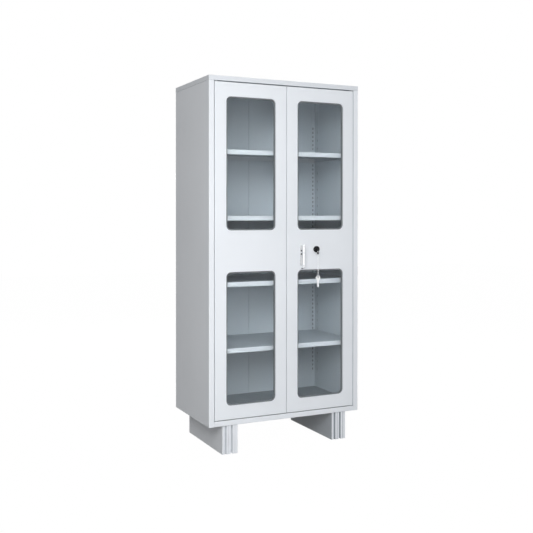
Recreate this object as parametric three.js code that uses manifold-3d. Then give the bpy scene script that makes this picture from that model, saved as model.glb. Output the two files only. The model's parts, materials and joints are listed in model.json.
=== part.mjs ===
// Glass door medical cabinet, in millimetres, with +Z up.
// It is drawn with x = 0 at its middle, y = 0 on the front of its frame, +y into the cabinet
// and z = 0 on the floor. The finished group is then moved along y, so that the origin is under
// the middle of its bounding box.
import * as THREE from 'three';
import { mergeGeometries, mergeVertices } from 'three/addons/utils/BufferGeometryUtils.js';
import Module from 'manifold-3d';

const wasm = await Module();
wasm.setup();

// Overall size
const WIDTH = 914;
const DEPTH = 485;
const HEIGHT = 1981;
const STAND_HEIGHT = 152;

// Sheet steel and the gaps between pieces
const SHEET = 1.2;
const FOLD = 2.5;
const FOLD_STEPS = 2;
const FIT = 0.3;

// Front frame and cap
const FRAME_SIDE = 30;
const FRAME_TOP = 26;
const FRAME_BOTTOM = 28;
const CAP_LIP = 25;
const REAR_FLANGE = 20;
const STOP_FACE = 26.5;
const STOP_LAP = 15;

// Inside of the cabinet
const FLOOR_RISE = 15;
const BACK_RECESS = 16;
const PAN_FLANGE = 26;

// Slotted uprights
const UPRIGHT_SIDE = 44;
const UPRIGHT_BACK = 28;
const UPRIGHT_FRONT = 42;
const SLOT_WIDTH = 5.5;
const SLOT_HEIGHT = 13;
const SLOT_ROWS_BELOW = 8;
const SLOT_ROWS = 60;
const SIDE_ROW_STEP = 2;
const FRONT_SLOT_IN = 17;
const REAR_SLOT_IN = 30;
const BACK_SLOT_IN = 15;

// Shelves and their brackets
const SHELF_COUNT = 4;
const SHELF_PITCH = 352;
const SHELF_LOWEST = 547;
const SHELF_LIP = 26;
const SHELF_TURN = 12;
const SHELF_FRONT = 42;
const SHELF_SIDE_GAP = 3.2;
const SHELF_BACK_GAP = 1;
const ROWS_PER_SHELF = 14;
const SLOT_PITCH = SHELF_PITCH / ROWS_PER_SHELF;
const BRACKET_LEDGE = 21;
const BRACKET_LEG = 32;
const BRACKET_FRONT = 33;
const BRACKET_BACK = 452;
const HOOK_DROP = 16;
const HOOK_WIDTH = 2.4;
const HOOK_HEIGHT = 7;

// Stands
const STAND_WIDTH = 88;
const STAND_INSET = 79;
const STAND_FRONT = 6;
const STAND_BACK = 474;
const STAND_SHEET = 1.5;
const STAND_FLANGE = 20;
const FLUTE_DEPTH = 14;
const FLUTE_WIDTH = 12;
const FLUTE_FLOOR = 9;
const FLUTE_PLACES = [0.2, 0.6];
const BEAD_DEPTH = 2;
const BEAD_WIDTH = 4;
const BEAD_FLOOR = 0.8;
const BEAD_PLACES = [0.4, 0.82];

// Doors and windows
const DOOR_GAP = 3;
const DOOR_TOP_GAP = 5;
const DOOR_DEPTH = 22;
const DOOR_EDGE = 2;
const DOOR_EDGE_STEPS = 2;
const DOOR_FLANGE = 13;
const DOOR_STILE = 66;
const WINDOW_RADIUS = 27;
const UPPER_WINDOW = { bottom: 1174, top: 1876 };
const LOWER_WINDOW = { bottom: 255, top: 956 };
const WINDOW_RETURN = 4;
const GLASS = 4;
const GLASS_LAP = 10;
const RETAINER_GAP = 11.5;
const RETAINER_SHOWS = 7;
const RETAINER_FRONT = 2.2;
const RETAINER_WALL = 1.2;

// Door pivots
const PIVOT_IN = 10;
const PIVOT_BACK = 8;
const PIN_RADIUS = 3;
const PIN_COLLAR = 6.5;
const PIN_COLLAR_HEIGHT = 12;
const PIN_REACH = 10;
const BUSH_BORE = 3.1;
const BUSH_RADIUS = 4.6;
const BUSH_FLANGE = 6.5;
const BUSH_LENGTH = 8;
const UPPER_BUSH_GAP = 1.4;

// Handle, its cam and the bolts
const HANDLE_X = 91;
const HANDLE_Z = 1051;
const BACKPLATE_WIDTH = 15;
const BACKPLATE_ABOVE = 38;
const BACKPLATE_BELOW = 72;
const BACKPLATE_RADIUS = 4;
const BACKPLATE_THICKNESS = 2.5;
const LEVER_PROUD = 30;
const LEVER_ABOVE = 41;
const LEVER_BELOW = 87;
const LEVER_WIDTH = 10;
const LEVER_THICKNESS = 6;
const LEVER_TIP_PROUD = 7;
const LEVER_STEPS = 10;
const LEVER_CURVE_STEPS = 5;
const KNOB_STEPS = [10, 8];
const POST_RADIUS = 6;
const SPINDLE_RADIUS = 4;
const CAM_FRONT = 6;
const CAM_THICKNESS = 3;
const CAM_RADIUS = 24;
const CAM_ARM = 40;
const CAM_ARM_WIDTH = 8;
const CRANK_RADIUS = 18;
const CRANK_PIN = 3;
const CRANK_PLAY = 0.9;
const BOLT_WIDTH = 14;
const BOLT_THICKNESS = 3;
const BOLT_IN = 22;
const BOLT_ARM = 16;
const BOLT_LAYERS = [10, 14];
const BOLT_TIP_INSIDE = 2;
const KEEPER_PLAY = 1.5;
const GUIDE_HEIGHT = 24;
const GUIDE_FOOT = 9;
const GUIDE_PLAY = 2;
const UPPER_GUIDE_Z = 1450;
const LOWER_GUIDE_Z = 640;

// Lock and keys
const LOCK_X = 185;
const LOCK_Z = 1067;
const BEZEL_RADIUS = 17.5;
const BEZEL_PROUD = 9;
const BEZEL_CHAMFER = 1.5;
const BARREL_RADIUS = 11;
const BARREL_BACK = 14;
const PLUG_RADIUS = 8;
const PLUG_CHAMFER = 1;
const NUT_RADIUS = 16;
const NUT_SIDES = 6;
const NUT_THICKNESS = 4.5;
const TONGUE_LENGTH = 62;
const TONGUE_WIDTH = 12;
const TONGUE_THICKNESS = 2.5;
const TAIL_RADIUS = 3;
const KEY_THICKNESS = 2;
const KEY_BLADE = 7;
const BOW_Y = -20;
const BOW_RADIUS = 9;
const BOW_HOLE = 5.5;
const BOW_DROP = 5;
const LOOP_WIRE = 0.7;
const LOOP_HALF_WIDTH = 3.6;
const LOOP_ARC_STEPS = 6;
const LOOP_STRAND_STEPS = 5;
const LOOP_SIDES = 5;
const SPARE_TOP = 923;
const SPARE_LENGTH = 63;
const SPARE_BOW = 13.5;
const SPARE_HOLE = 3.5;
const SPARE_RIM = 3;
const SPARE_BLADE = 11;
const SPARE_NOTCH = 1.6;
const SPARE_NOTCH_STEP = 6;

// Magnetic catch of the left door
const CATCH_WIDTH = 44;
const CATCH_HEIGHT = 10;
const CATCH_IN = 60;
const CATCH_DROP = 1;
const MAGNET_THICKNESS = 2.2;

// Places that follow from the sizes above
const OUTER = -WIDTH / 2;
const INNER = OUTER + SHEET + FIT;
const CAP_RETURN = HEIGHT - FRAME_TOP;
const CAP_SEAM = CAP_RETURN - FIT;
const CAP_UNDER = HEIGHT - SHEET - FIT;
const SILL = STAND_HEIGHT + FRAME_BOTTOM;
const FLOOR = SILL + FLOOR_RISE;
const BACK = DEPTH - BACK_RECESS;
const REACH = LEVER_PROUD + LEVER_THICKNESS / 2;
const DOOR_OUT = OUTER + FRAME_SIDE + DOOR_GAP;
const DOOR_IN = -DOOR_GAP / 2;
const DOOR_BOTTOM = SILL + DOOR_GAP;
const DOOR_TOP = CAP_RETURN - DOOR_TOP_GAP;
const WINDOW_OUT = DOOR_OUT + DOOR_STILE;
const WINDOW_IN = DOOR_IN - DOOR_STILE;
const GLASS_FRONT = WINDOW_RETURN + RETAINER_FRONT + 2 * FIT;
const RETAINER_LIP = GLASS_FRONT + GLASS + FIT;
const PIVOT_X = DOOR_OUT + PIVOT_IN;
const BOLT_X = -DOOR_IN + BOLT_IN;
const CRANK_OFFSET = CRANK_RADIUS * Math.SQRT1_2;
const SHELF_BACK = BACK - SHEET - 2 * FIT - SHELF_BACK_GAP;
const HOOK_LOWEST = SHELF_LOWEST - SHELF_LIP - FIT - HOOK_DROP;
const FRONT_SLOT_Y = STOP_FACE + SHEET + FIT + FRONT_SLOT_IN;
const REAR_SLOT_Y = BACK - FIT - REAR_SLOT_IN;

// Finishes
const PAINT = { color: 0xe3e6e8, roughness: 0.45, metalness: 0.1 };
const INSIDE_PAINT = { color: 0xcfd3d6, roughness: 0.55, metalness: 0.1 };
const ZINC = { color: 0xb9bcc0, roughness: 0.4, metalness: 0.9 };
const CHROME = { color: 0xe8eaec, roughness: 0.12, metalness: 1 };
const NICKEL = { color: 0xd8d9da, roughness: 0.25, metalness: 1 };
const BLACK = { color: 0x151618, roughness: 0.4, metalness: 0.2 };
const RUBBER = { color: 0x2e3134, roughness: 0.8, metalness: 0 };
const NYLON = { color: 0xb4b8bc, roughness: 0.5, metalness: 0 };
const PANE = { color: 0xdfe8ea, roughness: 0.05, metalness: 0, transparent: true, opacity: 0.25 };

// Solids, joins and cuts
const MERGE = 1e-4;
const OVERSHOOT = 1;
const CURVE_STEPS = 3;
const SEGMENTS = 14;
const CIRCLE_STEPS = 20;

function outward(geometry) {
  const bare = new THREE.BufferGeometry();
  bare.setAttribute('position', geometry.getAttribute('position'));
  bare.setIndex(geometry.getIndex());
  const merged = mergeVertices(bare, MERGE);
  const place = merged.getAttribute('position');
  const corners = [0, 1, 2].map(() => new THREE.Vector3());
  const faces = [];
  let volume = 0;
  for (let i = 0; i < merged.index.count; i += 3) {
    const face = [0, 1, 2].map((k) => merged.index.getX(i + k));
    if (new Set(face).size < 3) continue;
    face.forEach((vertex, k) => corners[k].fromBufferAttribute(place, vertex));
    volume += corners[0].dot(corners[1].clone().cross(corners[2]));
    faces.push(face);
  }
  const turned = volume < 0 ? faces.map(([a, b, c]) => [a, c, b]) : faces;
  merged.setIndex(turned.flat());
  return merged;
}

function toSolid(geometry) {
  const closed = outward(geometry);
  return new wasm.Manifold(new wasm.Mesh({
    numProp: 3,
    vertProperties: new Float32Array(closed.getAttribute('position').array),
    triVerts: new Uint32Array(closed.index.array),
  }));
}

function toGeometry(solid) {
  const mesh = solid.getMesh();
  const geometry = new THREE.BufferGeometry();
  geometry.setAttribute('position', new THREE.BufferAttribute(mesh.vertProperties, 3));
  geometry.setIndex(new THREE.BufferAttribute(mesh.triVerts, 1));
  return geometry;
}

function join(...geometries) {
  return toGeometry(geometries.map(toSolid).reduce((whole, next) => whole.add(next)));
}

function cut(body, ...tools) {
  return toGeometry(tools.map(toSolid).reduce((whole, tool) => whole.subtract(tool), toSolid(body)));
}

// Shapes and how they are drawn out
function point(x, y) {
  return new THREE.Vector2(x, y);
}

function foldedCorner(before, corner, after) {
  const into = before.clone().sub(corner).setLength(FOLD).add(corner);
  const out = after.clone().sub(corner).setLength(FOLD).add(corner);
  return new THREE.QuadraticBezierCurve(into, corner, out).getPoints(FOLD_STEPS);
}

function foldedPath(corners) {
  const folds = corners.slice(1, -1).map((corner, i) => foldedCorner(corners[i], corner, corners[i + 2]));
  return [corners[0], ...folds.flat(), corners.at(-1)];
}

function leftOf(from, to) {
  const along = to.clone().sub(from).normalize();
  return point(-along.y, along.x);
}

function offsetPath(path, distance, closed = false) {
  return path.map((here, i) => {
    const before = path[i - 1] ?? (closed ? path.at(-1) : null);
    const after = path[i + 1] ?? (closed ? path[0] : null);
    const first = before ? leftOf(before, here) : leftOf(here, after);
    const second = after ? leftOf(here, after) : first;
    const mitre = first.clone().add(second).divideScalar(1 + first.dot(second));
    return here.clone().addScaledVector(mitre, distance);
  });
}

// A folded sheet: the corners run along its outer face, with the sheet on their left
function sheetSection(corners) {
  const outside = foldedPath(corners.map(([x, y]) => point(x, y)));
  const inside = offsetPath(outside, SHEET);
  return new THREE.Shape([...outside, ...inside.reverse()]);
}

function endPlate(front, back, bottom, top) {
  const corners = [point(back, bottom), point(back, top), point(front, top), point(front, bottom)];
  const around = corners.map((corner, i) => (
    foldedCorner(corners.at(i - 1), corner, corners[(i + 1) % corners.length])
  ));
  return new THREE.Shape(around.flat());
}

function roundedRectangle(left, right, bottom, top, radius) {
  const shape = new THREE.Shape();
  shape.absarc(right - radius, bottom + radius, radius, -Math.PI / 2, 0);
  shape.absarc(right - radius, top - radius, radius, 0, Math.PI / 2);
  shape.absarc(left + radius, top - radius, radius, Math.PI / 2, Math.PI);
  shape.absarc(left + radius, bottom + radius, radius, Math.PI, 1.5 * Math.PI);
  shape.closePath();
  return shape;
}

function circle(x, y, radius, sides = CIRCLE_STEPS) {
  const points = [];
  for (let i = 0; i < sides; i += 1) {
    const angle = (i * 2 * Math.PI) / sides;
    points.push(point(x + radius * Math.cos(angle), y + radius * Math.sin(angle)));
  }
  return new THREE.Shape(points);
}

function draw(shape, depth) {
  return new THREE.ExtrudeGeometry(shape, { depth, bevelEnabled: false, curveSegments: CURVE_STEPS });
}

// From a plan (x, y) upwards
function drawUp(shape, bottom, top) {
  return draw(shape, top - bottom).translate(0, 0, bottom);
}

// From a front view (x, z) backwards
function drawBack(shape, front, back) {
  return draw(shape, back - front).rotateX(Math.PI / 2).translate(0, back, 0);
}

// From a side view (y, z) to the right
const SIDEWAYS = new THREE.Matrix4().makeBasis(
  new THREE.Vector3(0, 1, 0),
  new THREE.Vector3(0, 0, 1),
  new THREE.Vector3(1, 0, 0),
);

function drawAcross(shape, left, right) {
  return draw(shape, right - left).applyMatrix4(SIDEWAYS).translate(left, 0, 0);
}

function block(left, right, front, back, bottom, top) {
  return new THREE.BoxGeometry(right - left, back - front, top - bottom)
    .translate((left + right) / 2, (front + back) / 2, (bottom + top) / 2);
}

// A turned piece standing on z, from a profile of [radius, height]
function turnedUp(profile) {
  const points = profile.map(([radius, height]) => point(radius, height));
  return outward(new THREE.LatheGeometry(points, SEGMENTS)).rotateX(Math.PI / 2);
}

// A turned piece lying along y, from a profile of [radius, depth]
function turnedBack(profile) {
  const points = profile.map(([radius, depth]) => point(radius, depth));
  return outward(new THREE.LatheGeometry(points, SEGMENTS));
}

function rodUp(radius, bottom, top) {
  return turnedUp([[0, bottom], [radius, bottom], [radius, top], [0, top]]);
}

function rodBack(radius, front, back) {
  return turnedBack([[0, front], [radius, front], [radius, back], [0, back]]);
}

// Carcass
function sidePanel() {
  const section = sheetSection([
    [OUTER + REAR_FLANGE, DEPTH],
    [OUTER, DEPTH],
    [OUTER, 0],
    [OUTER + FRAME_SIDE, 0],
    [OUTER + FRAME_SIDE, STOP_FACE],
    [OUTER + FRAME_SIDE + STOP_LAP, STOP_FACE],
  ]);
  return drawUp(section, STAND_HEIGHT, CAP_SEAM);
}

function backPanel() {
  const flangeEnd = DEPTH - SHEET - FOLD;
  const section = sheetSection([
    [INNER, flangeEnd],
    [INNER, BACK],
    [-FIT, BACK],
    [-FIT, flangeEnd],
  ]);
  return drawUp(section, STAND_HEIGHT, CAP_UNDER - FOLD);
}

function bothSides(make) {
  return [make(-1), make(1)];
}

function keeper(x, layer, height) {
  const halfWidth = BOLT_WIDTH / 2 + KEEPER_PLAY;
  const front = layer - KEEPER_PLAY;
  const back = layer + BOLT_THICKNESS + KEEPER_PLAY;
  return block(x - halfWidth, x + halfWidth, front, back, height - FOLD, height + FOLD);
}

function bushHole(side, height) {
  return rodUp(BUSH_RADIUS + FIT, height - FOLD, height + FOLD)
    .translate(side * -PIVOT_X, PIVOT_BACK, 0);
}

function topPanel() {
  const section = sheetSection([
    [DEPTH, HEIGHT - CAP_LIP],
    [DEPTH, HEIGHT],
    [0, HEIGHT],
    [0, CAP_RETURN],
    [STOP_FACE, CAP_RETURN],
  ]);
  const side = endPlate(0, DEPTH, HEIGHT - CAP_LIP, HEIGHT);
  const stopHalf = WIDTH / 2 - FRAME_SIDE - STOP_LAP - FIT;
  const stopBack = STOP_FACE + SHEET;
  const stopTop = CAP_RETURN + SHEET;
  const stop = block(-stopHalf, stopHalf, STOP_FACE, stopBack, CAP_RETURN - STOP_LAP, stopTop);
  const stopSeat = block(-stopHalf, stopHalf, STOP_FACE - SHEET, stopBack, CAP_RETURN, stopTop);
  const whole = join(
    drawAcross(section, OUTER, -OUTER),
    drawAcross(side, OUTER, OUTER + SHEET),
    drawAcross(side, -OUTER - SHEET, -OUTER),
    stop,
    stopSeat,
  );
  const bushHoles = bothSides((way) => bushHole(way, CAP_RETURN));
  return cut(whole, ...bushHoles, keeper(BOLT_X, BOLT_LAYERS[0], CAP_RETURN));
}

function bottomPanel() {
  const rear = BACK - FIT;
  const section = sheetSection([
    [rear - PAN_FLANGE, STAND_HEIGHT],
    [rear, STAND_HEIGHT],
    [rear, FLOOR],
    [STOP_FACE, FLOOR],
    [STOP_FACE, SILL],
    [0, SILL],
    [0, STAND_HEIGHT],
    [PAN_FLANGE, STAND_HEIGHT],
  ]);
  const behindStop = STOP_FACE + SHEET + FIT;
  const below = STAND_HEIGHT - OVERSHOOT;
  const above = FLOOR + OVERSHOOT;
  const notches = bothSides((way) => {
    const frameEdge = way * (WIDTH / 2 - FRAME_SIDE - FIT);
    const stopEdge = way * (WIDTH / 2 - FRAME_SIDE - STOP_LAP - FIT);
    const outside = way * WIDTH;
    const round = (edge, front, back) => (
      block(Math.min(edge, outside), Math.max(edge, outside), front, back, below, above)
    );
    return [
      round(frameEdge, -OVERSHOOT, behindStop),
      round(stopEdge, STOP_FACE - FOLD - FIT, behindStop),
    ];
  }).flat();
  const bushHoles = bothSides((way) => bushHole(way, SILL));
  const pan = drawAcross(section, INNER, -INNER);
  return cut(pan, ...notches, ...bushHoles, keeper(BOLT_X, BOLT_LAYERS[1], SILL));
}

// Slots come in rows that match the hooks of the shelf brackets
function slotColumn(rowStep, makeSlot) {
  const slots = [];
  for (let row = -SLOT_ROWS_BELOW; row < SLOT_ROWS - SLOT_ROWS_BELOW; row += rowStep) {
    const middle = HOOK_LOWEST + row * SLOT_PITCH;
    slots.push(makeSlot(middle - SLOT_HEIGHT / 2, middle + SLOT_HEIGHT / 2));
  }
  return mergeGeometries(slots);
}

function sideSlots(y) {
  const half = SLOT_WIDTH / 2;
  return slotColumn(SIDE_ROW_STEP, (bottom, top) => (
    block(INNER - OVERSHOOT, INNER + SHEET + OVERSHOOT, y - half, y + half, bottom, top)
  ));
}

function frontUpright() {
  const front = STOP_FACE + SHEET + FIT;
  const section = sheetSection([
    [INNER, front + UPRIGHT_SIDE],
    [INNER, front],
    [INNER + UPRIGHT_FRONT, front],
  ]);
  return cut(drawUp(section, FLOOR + FIT, CAP_UNDER), sideSlots(FRONT_SLOT_Y));
}

function rearUpright() {
  const back = BACK - FIT;
  const section = sheetSection([
    [INNER + UPRIGHT_BACK, back],
    [INNER, back],
    [INNER, back - UPRIGHT_SIDE],
  ]);
  const x = INNER + BACK_SLOT_IN;
  const half = SLOT_WIDTH / 2;
  const backSlots = slotColumn(1, (bottom, top) => (
    block(x - half, x + half, back - SHEET - OVERSHOOT, back + OVERSHOOT, bottom, top)
  ));
  return cut(drawUp(section, FLOOR + FIT, CAP_UNDER), sideSlots(REAR_SLOT_Y), backSlots);
}

// Shelves are drawn with their top at z = 0
function shelf() {
  const left = INNER + SHEET + SHELF_SIDE_GAP;
  const outside = endPlate(SHELF_FRONT, SHELF_BACK, -SHELF_LIP, 0);
  const inside = endPlate(SHELF_FRONT + SHEET, SHELF_BACK - SHEET, SHEET - SHELF_LIP, -SHEET);
  const underside = block(
    left + SHELF_TURN,
    -left - SHELF_TURN,
    SHELF_FRONT + SHELF_TURN,
    SHELF_BACK - SHELF_TURN,
    -SHELF_LIP - SHEET,
    -SHELF_LIP / 2,
  );
  return cut(drawAcross(outside, left, -left), drawAcross(inside, left + SHEET, -left - SHEET), underside);
}

function shelfBracket() {
  const ledge = -SHELF_LIP - FIT;
  const left = INNER + SHEET + FIT;
  const section = sheetSection([
    [left + BRACKET_LEDGE, ledge],
    [left, ledge],
    [left, ledge - BRACKET_LEG],
  ]);
  const hooks = [FRONT_SLOT_Y, REAR_SLOT_Y].map((y) => block(
    INNER + FIT,
    left + SHEET / 2,
    y - HOOK_WIDTH / 2,
    y + HOOK_WIDTH / 2,
    ledge - HOOK_DROP - HOOK_HEIGHT / 2,
    ledge - HOOK_DROP + HOOK_HEIGHT / 2,
  ));
  return join(drawBack(section, BRACKET_FRONT, BRACKET_BACK), ...hooks);
}

// Stands are drawn about x = 0
function standOutline() {
  const half = STAND_WIDTH / 2;
  const flutes = FLUTE_PLACES.map((place) => (
    { place, width: FLUTE_WIDTH, depth: FLUTE_DEPTH, floor: FLUTE_FLOOR }
  ));
  const beads = BEAD_PLACES.map((place) => (
    { place, width: BEAD_WIDTH, depth: BEAD_DEPTH, floor: BEAD_FLOOR }
  ));
  const grooves = [...flutes, ...beads].sort((a, b) => a.place - b.place);
  const outline = [point(-half, STAND_BACK), point(-half, STAND_FRONT)];
  for (const { place, width, depth, floor } of grooves) {
    const x = -half + place * STAND_WIDTH;
    outline.push(point(x - width / 2, STAND_FRONT));
    outline.push(point(x - floor / 2, STAND_FRONT + depth));
    outline.push(point(x + floor / 2, STAND_FRONT + depth));
    outline.push(point(x + width / 2, STAND_FRONT));
  }
  outline.push(point(half, STAND_FRONT), point(half, STAND_BACK));
  return outline;
}

function stand() {
  const outline = standOutline();
  const top = STAND_HEIGHT - FIT;
  const inside = new THREE.Shape(offsetPath(outline, STAND_SHEET, true));
  const half = STAND_WIDTH / 2 - STAND_FLANGE;
  const front = STAND_FRONT + STAND_FLANGE;
  const back = STAND_BACK - STAND_FLANGE;
  const opening = block(-half, half, front, back, -OVERSHOOT, STAND_HEIGHT + OVERSHOOT);
  const hollow = drawUp(inside, STAND_SHEET, top - STAND_SHEET);
  return cut(drawUp(new THREE.Shape(outline), 0, top), hollow, opening);
}

// Turned pieces of the door pivots
function bush(flangeBottom, flangeTop, end) {
  return turnedUp([
    [BUSH_BORE, flangeBottom],
    [BUSH_FLANGE, flangeBottom],
    [BUSH_FLANGE, flangeTop],
    [BUSH_RADIUS, flangeTop],
    [BUSH_RADIUS, end],
    [BUSH_BORE, end],
    [BUSH_BORE, flangeBottom],
  ]).translate(PIVOT_X, PIVOT_BACK, 0);
}

function upperBush() {
  return bush(DOOR_TOP + UPPER_BUSH_GAP, CAP_RETURN - FIT, CAP_RETURN + BUSH_LENGTH);
}

function lowerBush() {
  return bush(DOOR_BOTTOM - FIT, SILL + FIT, SILL - BUSH_LENGTH);
}

function pivotPin(edge, inward) {
  const seat = edge + inward * (SHEET + FIT);
  const collarEnd = seat + inward * PIN_COLLAR_HEIGHT;
  return turnedUp([
    [0, edge - inward * PIN_REACH],
    [PIN_RADIUS, edge - inward * PIN_REACH],
    [PIN_RADIUS, seat],
    [PIN_COLLAR, seat],
    [PIN_COLLAR, collarEnd],
    [0, collarEnd],
  ]).translate(PIVOT_X, PIVOT_BACK, 0);
}

// Doors, drawn as the left one
function windowOutline({ bottom, top }, spread) {
  return roundedRectangle(
    WINDOW_OUT - spread,
    WINDOW_IN + spread,
    bottom - spread,
    top + spread,
    WINDOW_RADIUS + spread,
  );
}

function windowRing(window, inner, outer, front, back) {
  const ring = windowOutline(window, outer);
  ring.holes.push(windowOutline(window, inner));
  return drawBack(ring, front, back);
}

function doorPan() {
  const outline = new THREE.Shape([
    point(DOOR_OUT, DOOR_BOTTOM),
    point(DOOR_IN, DOOR_BOTTOM),
    point(DOOR_IN, DOOR_TOP),
    point(DOOR_OUT, DOOR_TOP),
  ]);
  const outside = new THREE.ExtrudeGeometry(outline, {
    depth: DOOR_DEPTH - 2 * DOOR_EDGE,
    bevelThickness: DOOR_EDGE,
    bevelSize: DOOR_EDGE,
    bevelOffset: -DOOR_EDGE,
    bevelSegments: DOOR_EDGE_STEPS,
  }).rotateX(Math.PI / 2).translate(0, DOOR_DEPTH - DOOR_EDGE, 0);
  const inset = (amount, front, back) => (
    block(DOOR_OUT + amount, DOOR_IN - amount, front, back, DOOR_BOTTOM + amount, DOOR_TOP - amount)
  );
  const hollow = inset(SHEET, SHEET, DOOR_DEPTH - SHEET);
  return cut(outside, hollow, inset(DOOR_FLANGE, SHEET, DOOR_DEPTH + OVERSHOOT));
}

function doorShell(...holes) {
  const windows = [UPPER_WINDOW, LOWER_WINDOW];
  const openings = windows.map((window) => (
    drawBack(windowOutline(window, 0), -OVERSHOOT, DOOR_DEPTH + OVERSHOOT)
  ));
  const pinHole = (edge) => (
    rodUp(PIN_RADIUS + FIT, edge - FOLD, edge + FOLD).translate(PIVOT_X, PIVOT_BACK, 0)
  );
  const sheet = cut(doorPan(), ...openings, pinHole(DOOR_TOP), pinHole(DOOR_BOTTOM), ...holes);
  const returns = windows.map((window) => windowRing(window, 0, SHEET, SHEET / 2, WINDOW_RETURN));
  return join(sheet, ...returns);
}

function glassPane(window) {
  return drawBack(windowOutline(window, GLASS_LAP), GLASS_FRONT, GLASS_FRONT + GLASS);
}

// A rubber channel round the edge of the pane, whose lips show inside the window
function glassRetainer(window) {
  const front = WINDOW_RETURN + FIT;
  const back = RETAINER_LIP + RETAINER_WALL;
  const outside = windowRing(window, -RETAINER_SHOWS, RETAINER_GAP + RETAINER_WALL, front, back);
  const inward = -RETAINER_SHOWS - OVERSHOOT;
  return cut(outside, windowRing(window, inward, RETAINER_GAP, GLASS_FRONT - FIT, RETAINER_LIP));
}

// Handle, drawn about its own axis
function handleBackplate() {
  const half = BACKPLATE_WIDTH / 2;
  const plate = roundedRectangle(-half, half, -BACKPLATE_BELOW, BACKPLATE_ABOVE, BACKPLATE_RADIUS);
  plate.holes.push(circle(0, 0, SPINDLE_RADIUS + 2 * FIT));
  return drawBack(plate, -BACKPLATE_THICKNESS - FIT, -FIT);
}

function lever() {
  const bend = LEVER_PROUD - LEVER_TIP_PROUD;
  const path = new THREE.CurvePath();
  const top = new THREE.Vector3(0, -LEVER_PROUD, LEVER_ABOVE);
  const shoulder = new THREE.Vector3(0, -LEVER_PROUD, -LEVER_BELOW + bend);
  const corner = new THREE.Vector3(0, -LEVER_PROUD, -LEVER_BELOW);
  const tip = new THREE.Vector3(0, -LEVER_TIP_PROUD, -LEVER_BELOW);
  path.add(new THREE.LineCurve3(top, shoulder));
  path.add(new THREE.QuadraticBezierCurve3(shoulder, corner, tip));
  const section = new THREE.Shape();
  section.absellipse(0, 0, LEVER_WIDTH / 2, LEVER_THICKNESS / 2, 0, 2 * Math.PI);
  const bar = new THREE.ExtrudeGeometry(section, {
    extrudePath: path,
    steps: LEVER_STEPS,
    curveSegments: LEVER_CURVE_STEPS,
  });
  const knob = new THREE.SphereGeometry(LEVER_THICKNESS / 2, ...KNOB_STEPS)
    .scale(LEVER_WIDTH / LEVER_THICKNESS, 1, 1)
    .translate(0, -LEVER_PROUD, LEVER_ABOVE);
  const post = rodBack(POST_RADIUS, -LEVER_PROUD, -BACKPLATE_THICKNESS - 2 * FIT);
  const socket = rodBack(SPINDLE_RADIUS + FIT, -LEVER_PROUD + LEVER_THICKNESS, 0);
  return cut(join(bar, knob, post), socket);
}

// The disc turns in front of the two bolts: one crank pin lifts the upper bolt, the other lowers
// the lower one
function handleCam() {
  const back = CAM_FRONT + CAM_THICKNESS;
  const middle = CAM_FRONT + CAM_THICKNESS / 2;
  const spindle = rodBack(SPINDLE_RADIUS, -LEVER_PROUD + LEVER_THICKNESS + 2 * FIT, middle);
  const disc = rodBack(CAM_RADIUS, CAM_FRONT, back);
  const half = CAM_ARM_WIDTH / 2;
  const arm = drawBack(roundedRectangle(0, CAM_ARM, -half, half, half), CAM_FRONT, back)
    .rotateY(-Math.PI / 4);
  const pinFor = (way, layer) => (
    rodBack(CRANK_PIN, middle, layer + BOLT_THICKNESS + FIT)
      .translate(way * CRANK_OFFSET, 0, way * CRANK_OFFSET)
  );
  return join(spindle, disc, arm, pinFor(-1, BOLT_LAYERS[0]), pinFor(1, BOLT_LAYERS[1]));
}

// A bolt is a flat bar with an arm whose slot takes the crank pin
function bolt(way, layer, tip) {
  const crankX = HANDLE_X - way * CRANK_OFFSET;
  const armZ = HANDLE_Z - way * CRANK_OFFSET;
  const halfArm = BOLT_ARM / 2;
  const slotHalf = CRANK_PIN + CRANK_PLAY;
  const reachIn = Math.min(crankX, HANDLE_X - way * CRANK_RADIUS) - slotHalf;
  const reachOut = Math.max(crankX, HANDLE_X - way * CRANK_RADIUS) + slotHalf;
  const left = BOLT_X - BOLT_WIDTH / 2;
  const right = BOLT_X + BOLT_WIDTH / 2;
  const end = reachOut + CRANK_PIN;
  const outline = new THREE.Shape([
    point(left, armZ - way * halfArm),
    point(end, armZ - way * halfArm),
    point(end, armZ + way * halfArm),
    point(right, armZ + way * halfArm),
    point(right, tip),
    point(left, tip),
  ]);
  const slot = roundedRectangle(reachIn, reachOut, armZ - slotHalf, armZ + slotHalf, slotHalf - FIT);
  outline.holes.push(slot);
  return drawBack(outline, layer, layer + BOLT_THICKNESS);
}

function boltGuide(layer, middle) {
  const half = BOLT_WIDTH / 2 + GUIDE_PLAY;
  const seat = SHEET + FIT;
  const over = layer + BOLT_THICKNESS + GUIDE_PLAY / 2;
  const section = sheetSection([
    [BOLT_X - half - GUIDE_FOOT, seat],
    [BOLT_X - half, seat],
    [BOLT_X - half, over],
    [BOLT_X + half, over],
    [BOLT_X + half, seat],
    [BOLT_X + half + GUIDE_FOOT, seat],
  ]);
  return drawUp(section, middle - GUIDE_HEIGHT / 2, middle + GUIDE_HEIGHT / 2);
}

// Lock and keys, drawn about the lock's axis
function lockBody() {
  const bore = PLUG_RADIUS + FIT;
  return turnedBack([
    [bore, -BEZEL_PROUD],
    [BEZEL_RADIUS - BEZEL_CHAMFER, -BEZEL_PROUD],
    [BEZEL_RADIUS, -BEZEL_PROUD + BEZEL_CHAMFER],
    [BEZEL_RADIUS, -FIT],
    [BARREL_RADIUS, -FIT],
    [BARREL_RADIUS, BARREL_BACK],
    [bore, BARREL_BACK],
    [bore, -BEZEL_PROUD],
  ]);
}

function lockNut() {
  const hexagon = circle(0, 0, NUT_RADIUS, NUT_SIDES);
  hexagon.holes.push(circle(0, 0, BARREL_RADIUS + FIT));
  const seat = SHEET + FIT;
  return drawBack(hexagon, seat, seat + NUT_THICKNESS);
}

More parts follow.
